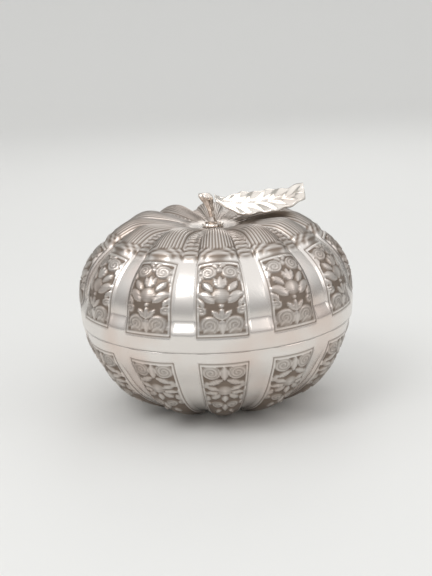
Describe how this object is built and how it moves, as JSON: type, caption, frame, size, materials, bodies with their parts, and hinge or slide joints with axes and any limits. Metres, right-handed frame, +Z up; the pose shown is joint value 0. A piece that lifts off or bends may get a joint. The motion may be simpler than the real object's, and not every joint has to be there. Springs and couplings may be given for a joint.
{
  "type": "lidded box",
  "caption": "Melon-shaped lidded silver box with lobed sides, decorated panels and a stalk-and-leaf finial.",
  "frame": {"origin": "on the surface that the box stands on, at the bottom centre of its bounding box", "axes": "+Z up along the box's axis, -Y towards the front lobe, +X along the finial's leaf"},
  "size_m": [0.0912, 0.0912, 0.0713],
  "materials": {
    "wall_silver": "hand-raised and chased silver with darkened recesses",
    "lining_silver": "plain scraped silver",
    "finial_silver": "burnished silver"
  },
  "bodies": {
    "bowl": {"bowl_shell": "wall_silver", "bowl_collar": "lining_silver"},
    "lid": {"lid_shell": "wall_silver", "lid_lining": "lining_silver", "finial_rosette": "finial_silver", "finial_beaded_ring": "finial_silver", "finial_stalk": "finial_silver", "finial_leaf": "finial_silver", "finial_washer": "lining_silver"}
  },
  "joints": [
    {"name": "lid_lift", "type": "slide", "parent": "bowl", "child": "lid", "axis": [0, 0, 1], "range_m": [0, 0.06]}
  ]
}
